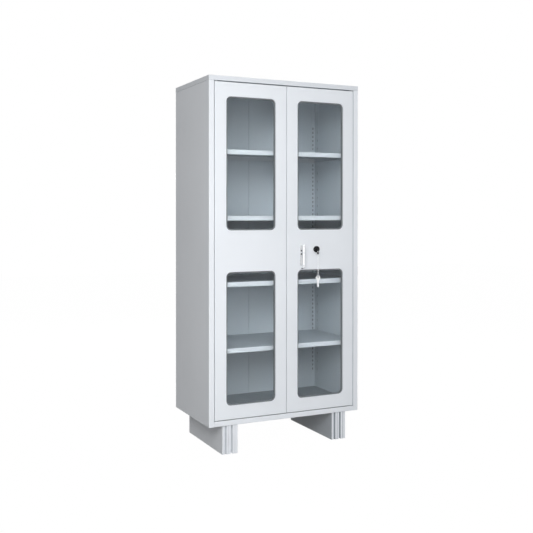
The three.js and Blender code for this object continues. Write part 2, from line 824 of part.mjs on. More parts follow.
function lockPlug() {
  const back = BARREL_BACK + FIT;
  const turned = turnedBack([
    [0, -BEZEL_PROUD - PLUG_CHAMFER],
    [PLUG_RADIUS - PLUG_CHAMFER, -BEZEL_PROUD - PLUG_CHAMFER],
    [PLUG_RADIUS, -BEZEL_PROUD],
    [PLUG_RADIUS, back],
    [TAIL_RADIUS, back],
    [TAIL_RADIUS, back + 2 * TONGUE_THICKNESS],
    [0, back + 2 * TONGUE_THICKNESS],
  ]);
  const halfWide = KEY_THICKNESS / 2 + FIT;
  const halfTall = KEY_BLADE / 2 + FIT;
  const front = -BEZEL_PROUD - PLUG_CHAMFER - OVERSHOOT;
  const keyway = block(-halfWide, halfWide, front, BARREL_BACK - CAM_THICKNESS, -halfTall, halfTall);
  return cut(turned, keyway);
}

function crankedPlate(corners) {
  const front = corners.map(([x, y]) => point(x, y));
  const back = offsetPath(front, TONGUE_THICKNESS);
  return new THREE.Shape([...front, ...back.reverse()]);
}

// The tongue is cranked forward, so that its end lies in the plane of the handle's cam
function lockCam() {
  const hubFront = BARREL_BACK + 2 * FIT;
  const cranked = crankedPlate([
    [hubFront, PLUG_RADIUS],
    [hubFront, -PLUG_RADIUS - CAM_THICKNESS],
    [CAM_FRONT, -PLUG_RADIUS - CAM_RADIUS / 2],
    [CAM_FRONT, -TONGUE_LENGTH],
  ]);
  const half = TONGUE_WIDTH / 2;
  const tongue = drawAcross(cranked, -half, half);
  return cut(tongue, rodBack(TAIL_RADIUS + FIT, BARREL_BACK, BARREL_BACK + CAM_RADIUS));
}

function key() {
  const half = KEY_THICKNESS / 2;
  const bow = circle(BOW_Y, -BOW_DROP, BOW_RADIUS);
  bow.holes.push(circle(BOW_Y, -BOW_DROP, BOW_HOLE));
  const neck = BOW_Y + (BOW_RADIUS + BOW_HOLE) / 2;
  const blade = block(-half, half, neck, BARREL_BACK / 2, -KEY_BLADE / 2, KEY_BLADE / 2);
  return join(drawAcross(bow, -half, half), blade);
}

// The wire loop hangs from the rim of the key's bow, makes a quarter turn and carries the spare key
function keyLoop() {
  const upper = LOCK_Z - BOW_DROP - (BOW_RADIUS + BOW_HOLE) / 2;
  const lower = SPARE_TOP - SPARE_RIM / 2;
  const points = [];
  for (let i = 0; i <= LOOP_ARC_STEPS; i += 1) {
    const angle = i * Math.PI / LOOP_ARC_STEPS;
    const x = LOOP_HALF_WIDTH * Math.cos(angle);
    points.push(new THREE.Vector3(x, 0, upper + LOOP_HALF_WIDTH * Math.sin(angle)));
  }
  const strand = (way, share) => {
    const turn = share * Math.PI / 2;
    const x = way * LOOP_HALF_WIDTH * Math.cos(turn);
    const y = way * LOOP_HALF_WIDTH * Math.sin(turn);
    return new THREE.Vector3(x, y, THREE.MathUtils.lerp(upper, lower, share));
  };
  for (let i = 1; i < LOOP_STRAND_STEPS; i += 1) {
    points.push(strand(-1, i / LOOP_STRAND_STEPS));
  }
  for (let i = 0; i <= LOOP_ARC_STEPS; i += 1) {
    const angle = i * Math.PI / LOOP_ARC_STEPS;
    const y = -LOOP_HALF_WIDTH * Math.cos(angle);
    points.push(new THREE.Vector3(0, y, lower - LOOP_HALF_WIDTH * Math.sin(angle)));
  }
  for (let i = LOOP_STRAND_STEPS - 1; i > 0; i -= 1) {
    points.push(strand(1, i / LOOP_STRAND_STEPS));
  }
  const route = new THREE.CatmullRomCurve3(points, true);
  // Steps are even between the points, so that the small arcs get as many as the long strands
  route.getUtoTmapping = (share) => share;
  const tube = new THREE.TubeGeometry(route, 2 * points.length, LOOP_WIRE, LOOP_SIDES, true);
  return outward(tube).translate(LOCK_X, BOW_Y, 0);
}

function spareKey() {
  const middle = SPARE_TOP - SPARE_BOW;
  const bow = circle(0, middle, SPARE_BOW);
  bow.holes.push(circle(0, SPARE_TOP - SPARE_RIM - SPARE_HOLE, SPARE_HOLE));
  const half = SPARE_BLADE / 2;
  const end = SPARE_TOP - SPARE_LENGTH;
  const bladeTop = middle - SPARE_BOW / 2;
  const tip = end + half;
  const blade = [point(-half, bladeTop), point(-half, tip), point(0, end), point(half, tip)];
  for (let z = tip + SPARE_NOTCH_STEP; z < bladeTop - SPARE_NOTCH_STEP; z += SPARE_NOTCH_STEP) {
    blade.push(point(half, z - SPARE_NOTCH_STEP / 2));
    blade.push(point(half - SPARE_NOTCH, z));
  }
  blade.push(point(half, bladeTop));
  const front = BOW_Y - KEY_THICKNESS / 2;
  const back = BOW_Y + KEY_THICKNESS / 2;
  return join(drawBack(bow, front, back), drawBack(new THREE.Shape(blade), front, back))
    .translate(LOCK_X, 0, 0);
}

// Either half of the catch at the top of the left door
function catchBlock(front, back) {
  const right = DOOR_IN - CATCH_IN;
  const top = DOOR_TOP - CATCH_DROP;
  const outline = roundedRectangle(right - CATCH_WIDTH, right, top - CATCH_HEIGHT, top, FOLD);
  return drawBack(outline, front, back);
}

// Assembly
const cabinet = new THREE.Group();

function add(parent, name, geometry, finish) {
  const shaded = outward(geometry);
  shaded.computeVertexNormals();
  const mesh = new THREE.Mesh(shaded, new THREE.MeshStandardMaterial(finish));
  mesh.name = name;
  parent.add(mesh);
  return mesh;
}

function handed(side) {
  const group = new THREE.Group();
  group.scale.x = side === 'left' ? 1 : -1;
  cabinet.add(group);
  return group;
}

add(cabinet, 'top_panel', topPanel(), PAINT);
add(cabinet, 'bottom_panel', bottomPanel(), PAINT);

for (let level = 0; level < SHELF_COUNT; level += 1) {
  const height = SHELF_LOWEST + level * SHELF_PITCH;
  add(cabinet, `shelf_${level + 1}`, shelf(), PAINT).position.z = height;
}

for (const side of ['left', 'right']) {
  const half = handed(side);
  add(half, `${side}_side_panel`, sidePanel(), PAINT);
  add(half, `${side}_back_panel`, backPanel(), INSIDE_PAINT);
  add(half, `${side}_front_upright`, frontUpright(), INSIDE_PAINT);
  add(half, `${side}_rear_upright`, rearUpright(), INSIDE_PAINT);
  for (let level = 0; level < SHELF_COUNT; level += 1) {
    const height = SHELF_LOWEST + level * SHELF_PITCH;
    add(half, `${side}_bracket_${level + 1}`, shelfBracket(), INSIDE_PAINT).position.z = height;
  }
  const way = side === 'left' ? -1 : 1;
  const standMiddle = way * (WIDTH / 2 - STAND_INSET - STAND_WIDTH / 2);
  add(cabinet, `${side}_stand`, stand(), PAINT).position.x = standMiddle;
  add(half, `${side}_upper_bush`, upperBush(), NYLON);
  add(half, `${side}_lower_bush`, lowerBush(), NYLON);
  add(half, `${side}_upper_pin`, pivotPin(DOOR_TOP, -1), ZINC);
  add(half, `${side}_lower_pin`, pivotPin(DOOR_BOTTOM, 1), ZINC);
  for (const [level, window] of [['upper', UPPER_WINDOW], ['lower', LOWER_WINDOW]]) {
    add(half, `${side}_${level}_glass`, glassPane(window), PANE);
    add(half, `${side}_${level}_retainer`, glassRetainer(window), RUBBER);
  }
}

// The right door is the mirrored pan, so places on it are mirrored here too
function frontHole(x, z, radius) {
  return rodBack(radius, -OVERSHOOT, SHEET + OVERSHOOT).translate(-x, 0, z);
}

const rightDoorHoles = [
  frontHole(HANDLE_X, HANDLE_Z, SPINDLE_RADIUS + 2 * FIT),
  frontHole(LOCK_X, LOCK_Z, BARREL_RADIUS + FIT),
  keeper(-BOLT_X, BOLT_LAYERS[0], DOOR_TOP),
  keeper(-BOLT_X, BOLT_LAYERS[1], DOOR_BOTTOM),
];
add(handed('left'), 'left_door', doorShell(), PAINT);
add(handed('right'), 'right_door', doorShell(...rightDoorHoles), PAINT);

const handle = new THREE.Group();
handle.position.set(HANDLE_X, 0, HANDLE_Z);
cabinet.add(handle);
add(handle, 'handle_backplate', handleBackplate(), CHROME);
add(handle, 'handle_lever', lever(), CHROME);
add(handle, 'handle_cam', handleCam(), ZINC);

add(cabinet, 'upper_bolt', bolt(1, BOLT_LAYERS[0], DOOR_TOP - BOLT_TIP_INSIDE), ZINC);
add(cabinet, 'lower_bolt', bolt(-1, BOLT_LAYERS[1], DOOR_BOTTOM + BOLT_TIP_INSIDE), ZINC);
add(cabinet, 'upper_bolt_guide', boltGuide(BOLT_LAYERS[0], UPPER_GUIDE_Z), ZINC);
add(cabinet, 'lower_bolt_guide', boltGuide(BOLT_LAYERS[1], LOWER_GUIDE_Z), ZINC);

const lock = new THREE.Group();
lock.position.set(LOCK_X, 0, LOCK_Z);
cabinet.add(lock);
add(lock, 'lock_body', lockBody(), BLACK);
add(lock, 'lock_nut', lockNut(), NICKEL);
add(lock, 'lock_plug', lockPlug(), BLACK);
add(lock, 'lock_cam', lockCam(), ZINC);
add(lock, 'key', key(), NICKEL);
add(cabinet, 'key_loop', keyLoop(), NICKEL);
add(cabinet, 'spare_key', spareKey(), NICKEL);

add(cabinet, 'catch_strike', catchBlock(DOOR_DEPTH + FIT, DOOR_DEPTH + FIT + SHEET), NICKEL);
add(cabinet, 'catch_magnet', catchBlock(STOP_FACE - FIT - MAGNET_THICKNESS, STOP_FACE - FIT), BLACK);

cabinet.position.y = (REACH - DEPTH) / 2;

export default cabinet;
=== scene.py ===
import json
import math

import bpy
from mathutils import Matrix, Vector


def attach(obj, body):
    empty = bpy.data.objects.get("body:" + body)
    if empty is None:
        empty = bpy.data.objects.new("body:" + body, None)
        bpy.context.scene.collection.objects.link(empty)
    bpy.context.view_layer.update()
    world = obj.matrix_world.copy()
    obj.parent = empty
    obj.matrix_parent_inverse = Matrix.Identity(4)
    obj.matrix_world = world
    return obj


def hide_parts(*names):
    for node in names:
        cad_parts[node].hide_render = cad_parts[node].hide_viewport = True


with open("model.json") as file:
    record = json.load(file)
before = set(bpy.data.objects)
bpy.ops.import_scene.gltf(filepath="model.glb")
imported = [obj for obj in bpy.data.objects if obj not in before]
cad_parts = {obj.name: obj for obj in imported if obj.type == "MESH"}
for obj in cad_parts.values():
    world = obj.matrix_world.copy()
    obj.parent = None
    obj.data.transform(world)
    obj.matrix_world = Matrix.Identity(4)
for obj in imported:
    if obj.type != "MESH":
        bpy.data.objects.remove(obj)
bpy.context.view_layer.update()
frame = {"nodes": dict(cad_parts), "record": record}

# Lengths are in metres, and those that are multiplied by MM in millimetres
MM = 0.001
FRONT_PLANE = -0.226
HANDLE = Vector((0.091, FRONT_PLANE, 1.051))
LOCK = Vector((0.185, FRONT_PLANE, 1.067))
SIDES = ("left", "right")
ENDS = ("front", "rear")
LEVELS = (1, 2, 3, 4)


def add_object(name, data):
    made = bpy.data.objects.new(name, data)
    bpy.context.collection.objects.link(made)
    return made


# Camera, from the vanishing points and edges of the photograph
CAMERA_PLACE = (-2.041, -3.9445, 1.2605)
CAMERA_HEADING = 24.25
CAMERA_PITCH = 0.4
CAMERA_LENS = 52.8
CAMERA_SENSOR = 36
CAMERA_SHIFT = (0.0779, -0.0883)


def make_camera():
    data = bpy.data.cameras.new("camera")
    data.lens = CAMERA_LENS
    data.sensor_width = CAMERA_SENSOR
    data.shift_x, data.shift_y = CAMERA_SHIFT
    camera = add_object("camera", data)
    camera.location = CAMERA_PLACE
    tilt = math.radians(90 - CAMERA_PITCH)
    turn = math.radians(-CAMERA_HEADING)
    camera.rotation_euler = (tilt, 0, turn)
    bpy.context.scene.camera = camera


# Material nodes. Noise keeps near the middle of 0 to 1, and ranged() spreads these values out
NOISE_LOW = 0.3
NOISE_HIGH = 0.7
EVEN = (1, 1, 1)


def colour_sockets(sockets):
    """The colour sockets of a mix node, which has others of the same names."""
    return [socket for socket in sockets if socket.type == "RGBA"]


class Shader:
    """A material under construction: its nodes are added by type and linked by socket."""

    def __init__(self, name):
        self.material = bpy.data.materials.new(name)
        self.material.use_nodes = True
        self.tree = self.material.node_tree
        self.base = self.tree.nodes["Principled BSDF"]
        self.output = self.tree.nodes["Material Output"]
        self.place = self.node("ShaderNodeTexCoord")

    def node(self, kind, **values):
        made = self.tree.nodes.new(kind)
        for key, value in values.items():
            setattr(made, key, value)
        return made

    def link(self, source, target):
        self.tree.links.new(source, target)

    def set(self, **values):
        for key, value in values.items():
            self.base.inputs[key.replace("_", " ")].default_value = value

    def feed(self, **sources):
        for key, source in sources.items():
            self.link(source, self.base.inputs[key.replace("_", " ")])

    def noise(self, scale, detail, stretch=EVEN):
        mapping = self.node("ShaderNodeMapping")
        mapping.inputs["Scale"].default_value = stretch
        self.link(self.place.outputs["Object"], mapping.inputs["Vector"])
        made = self.node("ShaderNodeTexNoise")
        made.inputs["Scale"].default_value = scale
        made.inputs["Detail"].default_value = detail
        self.link(mapping.outputs["Vector"], made.inputs["Vector"])
        return made.outputs["Fac"]

    def ranged(self, value, low, high):
        made = self.node("ShaderNodeMapRange")
        made.inputs["From Min"].default_value = NOISE_LOW
        made.inputs["From Max"].default_value = NOISE_HIGH
        made.inputs["To Min"].default_value = low
        made.inputs["To Max"].default_value = high
        self.link(value, made.inputs["Value"])
        return made.outputs["Result"]

    def mix(self, factor, first, second):
        """A colour between two, each of which is a plain colour or a socket."""
        made = self.node("ShaderNodeMix", data_type="RGBA")
        self.link(factor, made.inputs["Factor"])
        for socket, colour in zip(colour_sockets(made.inputs), (first, second)):
            if isinstance(colour, tuple):
                socket.default_value = (*colour, 1)
            else:
                self.link(colour, socket)
        return colour_sockets(made.outputs)[0]

    def bump(self, height, strength, depth):
        made = self.node("ShaderNodeBump")
        made.inputs["Strength"].default_value = strength
        made.inputs["Distance"].default_value = depth * MM
        self.link(height, made.inputs["Height"])
        self.feed(Normal=made.outputs["Normal"])

    def swap_surface(self, factor, other):
        """Shows the other shader in place of the Principled one where the factor is 1."""
        mix = self.node("ShaderNodeMixShader")
        self.link(factor, mix.inputs[0])
        self.link(self.base.outputs["BSDF"], mix.inputs[1])
        self.link(other, mix.inputs[2])
        self.link(mix.outputs["Shader"], self.output.inputs["Surface"])


def shades(colour, spread):
    """A colour made a little darker, and the same a little lighter."""
    dark = tuple(c * (1 - spread) for c in colour)
    light = tuple(min(1, c * (1 + spread)) for c in colour)
    return dark, light


# Powder coat: slow clouds in the colour, patches of sheen, and a fine orange peel
CLOUD_GRAIN = 2.2
CLOUD_DETAIL = 4
CLOUD_SPREAD = 0.025
SHEEN_GRAIN = 35
SHEEN_DETAIL = 3
SHEEN_RANGE = (0.36, 0.5)
PEEL_GRAIN = 650
PEEL_DETAIL = 2
PEEL_STRENGTH = 0.12
PEEL_DEPTH = 0.4
PAINT_SPECULAR = 0.4
FACING_LEVEL = 0.5


def clouded(shader, colour):
    """A colour that drifts a little lighter and darker across the surface."""
    cloud = shader.ranged(shader.noise(CLOUD_GRAIN, CLOUD_DETAIL), 0, 1)
    return shader.mix(cloud, *shades(colour, CLOUD_SPREAD))


def facing(shader, way):
    """1 on faces that look the given way, and 0 on the others."""
    along = shader.node("ShaderNodeVectorMath", operation="DOT_PRODUCT")
    along.inputs[1].default_value = way
    shader.link(shader.place.outputs["Normal"], along.inputs[0])
    level = shader.node("ShaderNodeMath", operation="GREATER_THAN")
    level.inputs[1].default_value = FACING_LEVEL
    shader.link(along.outputs["Value"], level.inputs[0])
    return level.outputs["Value"]


def powder_coat(name, colour, second=None, way=None):
    """Sprayed paint, in a second colour on faces that look the given way. The two colours are a
    lit and a shaded copy of one paint: painted shade.
    """
    shader = Shader(name)
    coat = clouded(shader, colour)
    if second:
        coat = shader.mix(facing(shader, way), coat, clouded(shader, second))
    sheen = shader.ranged(shader.noise(SHEEN_GRAIN, SHEEN_DETAIL), *SHEEN_RANGE)
    shader.feed(Base_Color=coat, Roughness=sheen)
    shader.bump(shader.noise(PEEL_GRAIN, PEEL_DETAIL), PEEL_STRENGTH, PEEL_DEPTH)
    shader.set(Specular_IOR_Level=PAINT_SPECULAR)
    return shader.material


# Metals: one streaked noise drives colour, roughness and bump
STREAK_DETAIL = 3
STREAK_SPREAD = 0.06
STREAK_STRENGTH = 0.05
STREAK_DEPTH = 0.05
BRUSHED = (1, 1, 0.1)
DRAWN = (1, 1, 0.05)


def metal(name, colour, rough, grain, stretch=EVEN, spread=STREAK_SPREAD):
    shader = Shader(name)
    streak = shader.noise(grain, STREAK_DETAIL, stretch)
    shader.feed(
        Base_Color=shader.mix(streak, *shades(colour, spread)),
        Roughness=shader.ranged(streak, *rough),
    )
    shader.bump(streak, STREAK_STRENGTH, STREAK_DEPTH)
    shader.set(Metallic=1.0)
    return shader.material


# Rubber and lacquer: specks between two colours
RUBBER_FEEL = {
    "grain": 120,
    "detail": 3,
    "rough": (0.6, 0.8),
    "strength": 0.15,
    "depth": 0.2,
    "specular": 0.2,
}
LACQUER_FEEL = {
    "grain": 900,
    "detail": 2,
    "rough": (0.35, 0.5),
    "strength": 0.1,
    "depth": 0.1,
    "specular": 0.15,
}


def speckled(name, dark, light, feel):
    shader = Shader(name)
    speck = shader.noise(feel["grain"], feel["detail"])
    shader.feed(
        Base_Color=shader.mix(speck, dark, light),
        Roughness=shader.ranged(speck, *feel["rough"]),
    )
    shader.bump(speck, feel["strength"], feel["depth"])
    shader.set(Specular_IOR_Level=feel["specular"])
    return shader.material


# Glass: faint smears in the gloss, and shadow rays that pass through it
GLASS_COLOUR = (0.95, 0.97, 0.975, 1)
GLASS_IOR = 1.25
GLASS_SPECULAR = 0.25
GLASS_SHADOW = (0.70, 0.725, 0.735, 1)
SMEAR_GRAIN = 9
SMEAR_DETAIL = 4
SMEAR_RANGE = (0.0, 0.03)


def pane(name):
    shader = Shader(name)
    shader.set(
        Base_Color=GLASS_COLOUR,
        IOR=GLASS_IOR,
        Transmission_Weight=1.0,
        Specular_IOR_Level=GLASS_SPECULAR,
    )
    shader.feed(Roughness=shader.ranged(shader.noise(SMEAR_GRAIN, SMEAR_DETAIL), *SMEAR_RANGE))
    clear = shader.node("ShaderNodeBsdfTransparent")
    clear.inputs["Color"].default_value = GLASS_SHADOW
    rays = shader.node("ShaderNodeLightPath")
    shader.swap_surface(rays.outputs["Is Shadow Ray"], clear.outputs["BSDF"])
    return shader.material


# Finishes. The inner faces, the cap and the inner faces of the stands take darker copies of the
# one outside paint: painted shade, for the shade inside the cabinet, along the cap and under the
# body.
OUTSIDE_COLOUR = (0.79, 0.815, 0.85)
# The cap is painted a little darker than the outside paint, and its downward faces darker still:
# painted shade.
CAP_SHADE_COLOUR = (0.71, 0.735, 0.77)
CEILING_SHADE_COLOUR = (0.48, 0.525, 0.565)
# The upward faces of the bottom panel are painted much darker: painted shade on the floor inside
# the cabinet.
SILL_SHADE_COLOUR = (0.27, 0.295, 0.32)
# Shelf tops and undersides are painted darker, and the front lips a little darker than the outside
# paint: painted shade.
SHELF_SHADE_COLOUR = (0.445, 0.485, 0.525)
LIP_SHADE_COLOUR = (0.66, 0.69, 0.725)
# The inner faces of the side panels, and the uprights and brackets, are painted darker: painted
# shade inside the cabinet.
WALL_SHADE_COLOUR = (0.535, 0.58, 0.62)
# The back panels, the front faces of the uprights, the rivets and the seam seal are a darker copy
# of the outside paint: painted shade inside the cabinet.
BACK_SHADE_COLOUR = (0.63, 0.68, 0.725)
# The inner faces of the stands are painted darker: painted shade under the body.
STAND_SHADE_COLOUR = (0.39, 0.42, 0.45)
NYLON_COLOUR = (0.46, 0.48, 0.50)
FRONT = (0, -1, 0)
LEFT = (-1, 0, 0)
RIGHT = (1, 0, 0)
UP = (0, 0, 1)
DOWN = (0, 0, -1)

PAINT = powder_coat("paint_outside", OUTSIDE_COLOUR)
CAP_PAINT = powder_coat("paint_cap", CAP_SHADE_COLOUR, CEILING_SHADE_COLOUR, DOWN)
SILL_PAINT = powder_coat("paint_sill", OUTSIDE_COLOUR, SILL_SHADE_COLOUR, UP)
SHELF_PAINT = powder_coat("paint_shelf", SHELF_SHADE_COLOUR, LIP_SHADE_COLOUR, FRONT)
LEFT_PAINT = powder_coat("paint_left_side", OUTSIDE_COLOUR, WALL_SHADE_COLOUR, RIGHT)
RIGHT_PAINT = powder_coat("paint_right_side", OUTSIDE_COLOUR, WALL_SHADE_COLOUR, LEFT)
LEFT_STAND_PAINT = powder_coat("paint_left_stand", OUTSIDE_COLOUR, STAND_SHADE_COLOUR, RIGHT)
RIGHT_STAND_PAINT = powder_coat("paint_right_stand", OUTSIDE_COLOUR, STAND_SHADE_COLOUR, LEFT)
SHADED_INSIDE = powder_coat("paint_inside_shaded", BACK_SHADE_COLOUR)
UPRIGHT_PAINT = powder_coat("paint_upright", WALL_SHADE_COLOUR, BACK_SHADE_COLOUR, FRONT)
GLASS = pane("window_glass")
CHROME = metal("chrome", (0.86, 0.87, 0.88), (0.06, 0.16), 60, spread=0.02)
SATIN = metal("satin_chrome", (0.62, 0.63, 0.65), (0.22, 0.34), 400, BRUSHED)
POST_CHROME = metal("post_chrome", (0.80, 0.81, 0.82), (0.12, 0.22), 90, spread=0.03)
# Dark chrome on the lever's lower end: a painted dark reflection.
DARK_REFLECTION_CHROME = metal("chrome_painted_dark_reflection", (0.20, 0.20, 0.21), (0.2, 0.35), 90)
GUNMETAL = metal("gunmetal", (0.075, 0.075, 0.08), (0.3, 0.45), 180)
NICKEL = metal("nickel", (0.93, 0.94, 0.955), (0.18, 0.32), 180)
ZINC = metal("zinc", (0.62, 0.63, 0.65), (0.3, 0.45), 300, DRAWN)
NYLON = powder_coat("nylon", NYLON_COLOUR)
# The window gaskets are dark rubber; their dark line round each window also stands for the shade
# along the window rims, which is painted shade.
GASKET = speckled("gasket_rubber", (0.155, 0.167, 0.18), (0.195, 0.208, 0.222), RUBBER_FEEL)
# Near-black sheets behind the slots of the uprights: painted shade.
SLOT_SHADE = speckled("painted_slot_shade", (0.115, 0.12, 0.128), (0.145, 0.152, 0.16), RUBBER_FEEL)
BLACK = speckled("black_lacquer", (0.008, 0.008, 0.010), (0.014, 0.014, 0.016), LACQUER_FEEL)
SLOT_FINISH = {
    "cabinet_paint": PAINT,
    "inside_paint": SHADED_INSIDE,
    "window_glass": GLASS,
    "handle_chrome": CHROME,
    "key_nickel": NICKEL,
    "zinc_steel": ZINC,
    "bush_nylon": NYLON,
    "gasket_rubber": GASKET,
    "lock_black": BLACK,
}
NODE_FINISH = {
    "top_panel": CAP_PAINT,
    "bottom_panel": SILL_PAINT,
    "left_side_panel": LEFT_PAINT,
    "right_side_panel": RIGHT_PAINT,
    "left_stand": LEFT_STAND_PAINT,
    "right_stand": RIGHT_STAND_PAINT,
}
NODE_FINISH.update({f"shelf_{level}": SHELF_PAINT for level in LEVELS})
NODE_FINISH.update({f"{s}_bracket_{level}": UPRIGHT_PAINT for s in SIDES for level in LEVELS})
NODE_FINISH.update({f"{s}_{end}_upright": UPRIGHT_PAINT for s in SIDES for end in ENDS})


# Sheet folds and turned faces are shaded smooth, and edges stay sharp
SHARP_ANGLE = math.radians(32)
WELD_DISTANCE = 1e-6


def smoothing_group():
    group = bpy.data.node_groups.new("smooth_folds", "GeometryNodeTree")
    for way in ("INPUT", "OUTPUT"):
        group.interface.new_socket("Geometry", in_out=way, socket_type="NodeSocketGeometry")
    nodes = group.nodes
    start = nodes.new("NodeGroupInput")
    end = nodes.new("NodeGroupOutput")
    weld = nodes.new("GeometryNodeMergeByDistance")
    weld.inputs["Distance"].default_value = WELD_DISTANCE
    forget = nodes.new("GeometryNodeRemoveAttribute")
    forget.inputs["Name"].default_value = "custom_normal"
    faces = nodes.new("GeometryNodeSetShadeSmooth")
    faces.domain = "FACE"
    angle = nodes.new("GeometryNodeInputMeshEdgeAngle")
    sharp = nodes.new("FunctionNodeCompare")
    sharp.data_type = "FLOAT"
    sharp.operation = "GREATER_THAN"
    sharp.inputs["B"].default_value = SHARP_ANGLE
    edges = nodes.new("GeometryNodeSetShadeSmooth")
    edges.domain = "EDGE"
    edges.inputs["Shade Smooth"].default_value = False
    chain = (start, weld, forget, faces, edges, end)
    for before, after in zip(chain, chain[1:]):
        group.links.new(before.outputs["Geometry"], after.inputs["Geometry"])
    group.links.new(angle.outputs["Unsigned Angle"], sharp.inputs["A"])
    group.links.new(sharp.outputs["Result"], edges.inputs["Selection"])
    return group


def weigh_normals(piece):
    """Lets the large flat faces set the shading along their folds, so that they look flat."""
    modifier = piece.modifiers.new("flat_faces", "WEIGHTED_NORMAL")
    modifier.mode = "FACE_AREA"
    modifier.keep_sharp = True


def dress_nodes():
    smoothing = smoothing_group()
    slots = {part["node"]: part["material_slot"] for part in frame["record"]["subparts"]}
    for name, node in frame["nodes"].items():
        node.data.materials.clear()
        node.data.materials.append(NODE_FINISH.get(name, SLOT_FINISH[slots[name]]))
        modifier = node.modifiers.new("smooth_folds", "NODES")
        modifier.node_group = smoothing
        weigh_normals(node)


# Pieces that stand for solids with finer shapes, or that only the scene has
SMOOTH_STEPS = 48


def add_piece(name, mesh, finishes, body, slot, *replaced):
    for finish in finishes:
        mesh.materials.append(finish)
    mesh.polygons.foreach_set("use_smooth", [True] * len(mesh.polygons))
    mesh.set_sharp_from_angle(angle=SHARP_ANGLE)
    piece = add_object(name, mesh)
    weigh_normals(piece)
    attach(piece, body)
    if replaced:
        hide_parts(*replaced)


class Skin:
    """Rings of points joined into one mesh, with a finish for each step from ring to ring."""

    def __init__(self):
        self.points = []
        self.faces = []
        self.finishes = []

    def add(self, rings, finish=0, closed=False, ending=None):
        """Joins rings in one finish, or in the next one from the ring numbered by ending."""
        start = len(self.points)
        around = len(rings[0])
        for ring in rings:
            self.points.extend(ring)
        pairs = len(rings) if closed else len(rings) - 1
        for i in range(pairs):
            here = start + i * around
            there = start + (i + 1) % len(rings) * around
            for k in range(around):
                after = (k + 1) % around
                self.faces.append((here + k, here + after, there + after, there + k))
                self.finishes.append(finish + (ending is not None and i >= ending))
        if not closed:
            last = start + (len(rings) - 1) * around
            self.faces.append(tuple(start + k for k in reversed(range(around))))
            self.faces.append(tuple(last + k for k in range(around)))
            self.finishes += [finish, finish + (ending is not None)]

    def mesh(self, name):
        made = bpy.data.meshes.new(name)
        made.from_pydata(self.points, [], self.faces)
        made.polygons.foreach_set("material_index", self.finishes)
        made.validate()
        return made


AXES = {
    "X": lambda along, u, v: (along, u, v),
    "Y": lambda along, u, v: (u, along, v),
    "Z": lambda along, u, v: (u, v, along),
}


def turned_rings(profile, place, steps=SMOOTH_STEPS, axis="Y"):
    """Rings about an axis through place, from a profile of (radius, way along)."""
    rings = []
    for radius, along in profile:
        ring = []
        for k in range(steps):
            angle = 2 * math.pi * k / steps
            u = radius * math.cos(angle)
            v = radius * math.sin(angle)
            ring.append(place + Vector(AXES[axis](along, u, v)) * MM)
        rings.append(ring)
    return rings


# Lever: an oval bar that bends back to the door at its lower end, on a turned post
LEVER_HALF = (4.2, 3.0)
LEVER_PROUD = 30
LEVER_TOP = 41
LEVER_SHOULDER = -64
LEVER_END = -87
LEVER_TIP = 9.5
LEVER_STEPS = 16
# From this ring on, the lower end of the lever is darker chrome: a painted dark reflection.
LEVER_TIP_RING = 32
OVAL_STEPS = 24
OVAL_FULLNESS = 0.8
ROUND_STEPS = 5
ROUND_INSET = 0.3
POST_PROFILE = [(4.2, -28), (3.8, -20), (3.9, -10), (4.1, -6.5), (4.5, -5.4), (4.5, -3.1)]
POST_FINISH = 2


def oval(centre, forward, size):
    """A ring across the lever: forward is the direction of the bar in its (y, z) plane."""
    ring = []
    for k in range(OVAL_STEPS):
        angle = 2 * math.pi * k / OVAL_STEPS
        wide, thick = (
            math.copysign(abs(share) ** OVAL_FULLNESS, share) * half * size
            for share, half in zip((math.cos(angle), math.sin(angle)), LEVER_HALF)
        )
        offset = Vector((wide, centre[0] - thick * forward[1], centre[1] + thick * forward[0]))
        ring.append(HANDLE + offset * MM)
    return ring


def rounding(step):
    """How far a ring of a rounded end lies beyond the bar, and its size there."""
    angle = math.pi / 2 * (step - ROUND_INSET) / ROUND_STEPS
    return LEVER_HALF[1] * math.sin(angle), math.cos(angle)


def lever_path():
    """Points (y, z), directions and sizes of the rings from the top of the lever to its tip."""
    top = Vector((-LEVER_PROUD, LEVER_TOP))
    shoulder = Vector((-LEVER_PROUD, LEVER_SHOULDER))
    corner = Vector((-LEVER_PROUD, LEVER_END))
    tip = Vector((-LEVER_TIP, LEVER_END))
    down = Vector((0, -1))
    back = Vector((1, 0))
    for k in range(ROUND_STEPS, 0, -1):
        beyond, size = rounding(k)
        yield top - down * beyond, down, size
    for k in range(LEVER_STEPS):
        yield top.lerp(shoulder, k / LEVER_STEPS), down, 1
    for k in range(LEVER_STEPS + 1):
        share = k / LEVER_STEPS
        first = shoulder.lerp(corner, share)
        second = corner.lerp(tip, share)
        yield first.lerp(second, share), (second - first).normalized(), 1
    for k in range(1, ROUND_STEPS + 1):
        beyond, size = rounding(k)
        yield tip + back * beyond, back, size


def lever():
    name = "lever_grip"
    skin = Skin()
    skin.add([oval(*step) for step in lever_path()], ending=LEVER_TIP_RING)
    skin.add(turned_rings(POST_PROFILE, HANDLE), finish=POST_FINISH)
    finishes = [CHROME, DARK_REFLECTION_CHROME, POST_CHROME]
    add_piece(name, skin.mesh(name), finishes, "handle_set", "handle_chrome", "handle_lever")


# Plates and wires, from curves
FRONT_VIEW = Matrix.Rotation(math.pi / 2, 4, "X")
SIDE_VIEW = Matrix(((0, 0, 1, 0), (1, 0, 0, 0), (0, 1, 0, 0), (0, 0, 0, 1)))
BEVEL_STEPS = 2


